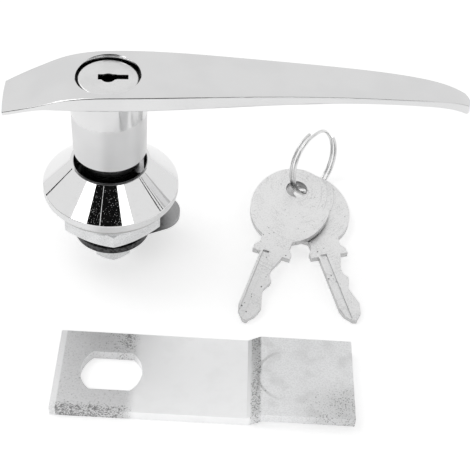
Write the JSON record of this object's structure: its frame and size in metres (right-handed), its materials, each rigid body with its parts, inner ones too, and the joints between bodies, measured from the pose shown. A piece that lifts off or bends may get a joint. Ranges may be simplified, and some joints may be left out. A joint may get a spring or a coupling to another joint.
{
  "type": "handle cam latch",
  "caption": "Handle-operated cam latch: keyed hub, spindle, cone housing with threaded barrel and hex nut, with its cranked cam taken off and keys on a split ring.",
  "frame": {"origin": "on the lock's axis, in the plane of the rim's underside, where the panel seats", "axes": "+Z along the lock's axis towards the handle, +X along the handle's long arm at rest"},
  "size_m": [0.1263, 0.1031, 0.0646],
  "materials": {
    "handle_chrome": "polished, slightly soft",
    "cone_chrome": "mirror",
    "lock_nickel": "satin nickel",
    "shaft_steel": "turned steel",
    "zinc_plate": "bright zinc",
    "dark_steel": "blackened",
    "wafer_brass": "plain",
    "cam_zinc": "zinc over rolled steel",
    "ring_steel": "nickelled wire",
    "key_nickel": "satin nickel",
    "seal_rubber": "matt",
    "gasket_nylon": "matt"
  },
  "bodies": {
    "housing": {"cone_housing": "cone_chrome", "panel_gasket": "gasket_nylon", "spacer_washer": "zinc_plate", "lock_washer": "zinc_plate", "hex_nut": "zinc_plate", "neck_o_ring": "seal_rubber", "cam": "cam_zinc", "split_ring": "ring_steel"},
    "handle": {"handle": "handle_chrome", "drive_shaft": "shaft_steel", "spindle_pin": "shaft_steel", "shell_pin": "shaft_steel", "shaft_circlip": "dark_steel", "stop_plate": "dark_steel", "cam_washer": "zinc_plate", "spring_washer": "zinc_plate", "cam_screw": "zinc_plate", "cylinder_shell": "lock_nickel"},
    "plug": {"plug": "lock_nickel", "wafers": "wafer_brass", "wafer_springs": "shaft_steel", "plug_clip": "dark_steel", "tail_bar": "shaft_steel"},
    "bolt": {"locking_bolt": "shaft_steel"},
    "front_key": {"key_front": "key_nickel"},
    "rear_key": {"key_rear": "key_nickel"}
  },
  "joints": [
    {"name": "handle_turn", "type": "hinge", "parent": "housing", "child": "handle", "pos_m": [0, 0, 0], "axis": [0, 0, 1], "range_deg": [0, 90]},
    {"name": "plug_turn", "type": "hinge", "parent": "handle", "child": "plug", "pos_m": [0, 0, 0.03], "axis": [0, 0, 1], "range_deg": [0, 90]},
    {"name": "bolt_slide", "type": "slide", "parent": "handle", "child": "bolt", "axis": [1, 0, 0], "range_m": [0, 0.002]},
    {"name": "key_front_swing", "type": "hinge", "parent": "housing", "child": "front_key", "pos_m": [0.05688, 0.01779, -0.01836], "axis": [0, -0.1167, 0.9932], "range_deg": [-25, 5]},
    {"name": "key_rear_swing", "type": "hinge", "parent": "housing", "child": "rear_key", "pos_m": [0.05971, 0.02027, -0.02203], "axis": [0, -0.0401, 0.9992], "range_deg": [-5, 25]}
  ],
  "couplings": [
    {"joint": "bolt_slide", "follows": "plug_turn", "m_per_rad": 0.0012732}
  ]
}
